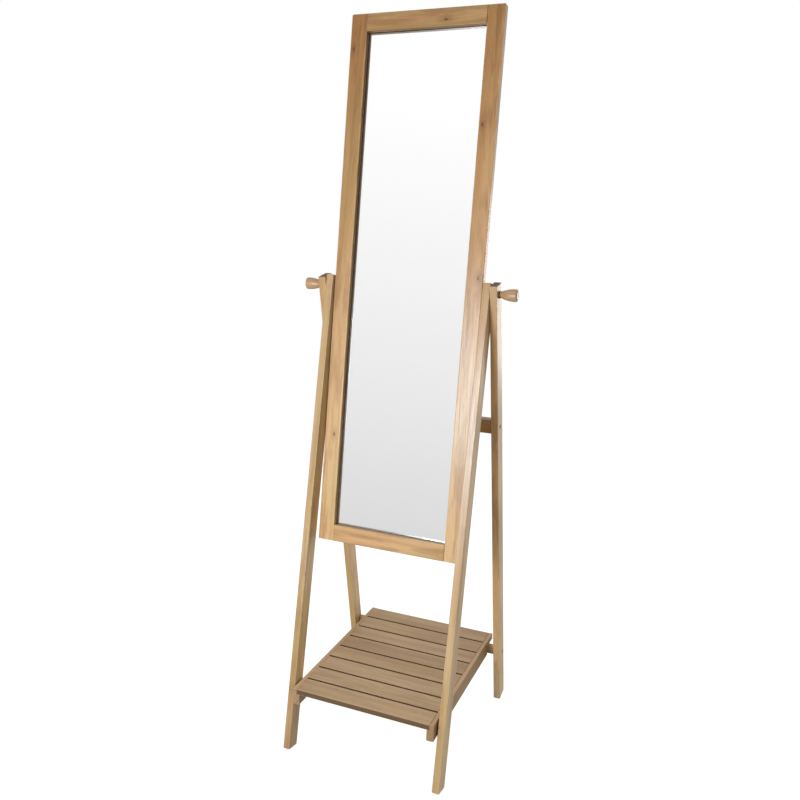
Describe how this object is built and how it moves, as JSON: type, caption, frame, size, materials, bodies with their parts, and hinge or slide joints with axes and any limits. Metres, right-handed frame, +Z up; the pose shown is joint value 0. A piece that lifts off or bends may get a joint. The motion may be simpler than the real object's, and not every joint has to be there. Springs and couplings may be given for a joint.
{
  "type": "cheval floor mirror",
  "caption": "Full-length framed mirror that tilts between two A-shaped wooden side frames, clamped by turned side knobs, over a low slatted shelf.",
  "frame": {"origin": "on the floor, at the centre of the object's bounding box seen from above, midway between the side frames and midway between the front and rear feet", "axes": "+X to the object's right as seen from the front, +Y towards the back, +Z up; the mirror faces -Y"},
  "size_m": [0.4854, 0.436, 1.5997],
  "materials": {
    "frame_wood": "clear satin lacquer over golden brown walnut-toned hardwood, grain along each member",
    "leg_wood": "clear satin lacquer over lighter tan hardwood, fine straight grain",
    "shelf_wood": "matte, greyer brown hardwood slats with fine grain",
    "knob_wood": "turned hardwood, satin",
    "dowel_wood": "plain beech",
    "mirror_silver": "silvered float glass",
    "hardboard": "brown hardboard, smooth face out",
    "steel": "zinc-plated steel",
    "dark_steel": "blackened wood screws",
    "brass": "plain threaded insert",
    "nylon": "brown nylon washers"
  },
  "bodies": {
    "stand": {"front_left_leg": "leg_wood", "front_right_leg": "leg_wood", "rear_left_leg": "leg_wood", "rear_right_leg": "leg_wood", "upper_crossbar": "leg_wood", "lower_crossbar": "leg_wood", "upper_crossbar_screw_left": "dark_steel", "upper_crossbar_screw_right": "dark_steel", "lower_crossbar_screw_left": "dark_steel", "lower_crossbar_screw_right": "dark_steel", "shelf_front_screw_left": "dark_steel", "shelf_front_screw_right": "dark_steel", "shelf_rear_screw_left": "dark_steel", "shelf_rear_screw_right": "dark_steel", "shelf_spacer_left": "nylon", "shelf_spacer_right": "nylon", "shelf_rail_left": "shelf_wood", "shelf_rail_right": "shelf_wood", "shelf_slat_1": "shelf_wood", "shelf_slat_2": "shelf_wood", "shelf_slat_3": "shelf_wood", "shelf_slat_4": "shelf_wood", "shelf_slat_5": "shelf_wood", "shelf_slat_6": "shelf_wood", "shelf_slat_7": "shelf_wood", "shelf_slat_8": "shelf_wood"},
    "mirror": {"left_stile": "frame_wood", "right_stile": "frame_wood", "top_rail": "frame_wood", "bottom_rail": "frame_wood", "mirror_glass": "mirror_silver", "back_panel": "hardboard", "dowel_bottom_left_1": "dowel_wood", "dowel_bottom_left_2": "dowel_wood", "dowel_bottom_right_1": "dowel_wood", "dowel_bottom_right_2": "dowel_wood", "dowel_top_left_1": "dowel_wood", "dowel_top_left_2": "dowel_wood", "dowel_top_right_1": "dowel_wood", "dowel_top_right_2": "dowel_wood", "glazing_point_left_1": "steel", "glazing_point_left_2": "steel", "glazing_point_left_3": "steel", "glazing_point_right_1": "steel", "glazing_point_right_2": "steel", "glazing_point_right_3": "steel", "glazing_point_bottom": "steel", "glazing_point_top": "steel", "left_threaded_insert": "brass", "right_threaded_insert": "brass", "left_pivot_spacer": "nylon", "right_pivot_spacer": "nylon"},
    "left_washer": {"left_pivot_washer": "nylon"},
    "left_knob": {"left_knob": "knob_wood", "left_pivot_stud": "steel"},
    "right_washer": {"right_pivot_washer": "nylon"},
    "right_knob": {"right_knob": "knob_wood", "right_pivot_stud": "steel"}
  },
  "joints": [
    {"name": "mirror_tilt", "type": "hinge", "parent": "stand", "child": "mirror", "pos_m": [0, 0, 1.0315], "axis": [-1, 0, 0], "range_deg": [-14.8, 157.5]},
    {"name": "left_knob_travel", "type": "slide", "parent": "mirror", "child": "left_washer", "axis": [-1, 0, 0], "range_m": [0, 0.01]},
    {"name": "left_knob_turn", "type": "hinge", "parent": "left_washer", "child": "left_knob", "pos_m": [-0.205, 0, 1.0315], "axis": [-1, 0, 0], "range_deg": [0, 2880]},
    {"name": "right_knob_travel", "type": "slide", "parent": "mirror", "child": "right_washer", "axis": [1, 0, 0], "range_m": [0, 0.01]},
    {"name": "right_knob_turn", "type": "hinge", "parent": "right_washer", "child": "right_knob", "pos_m": [0.205, 0, 1.0315], "axis": [1, 0, 0], "range_deg": [0, 2880]}
  ],
  "couplings": [
    {"joint": "left_knob_travel", "follows": "left_knob_turn", "m_per_rad": 0.00019894},
    {"joint": "right_knob_travel", "follows": "right_knob_turn", "m_per_rad": 0.00019894}
  ]
}
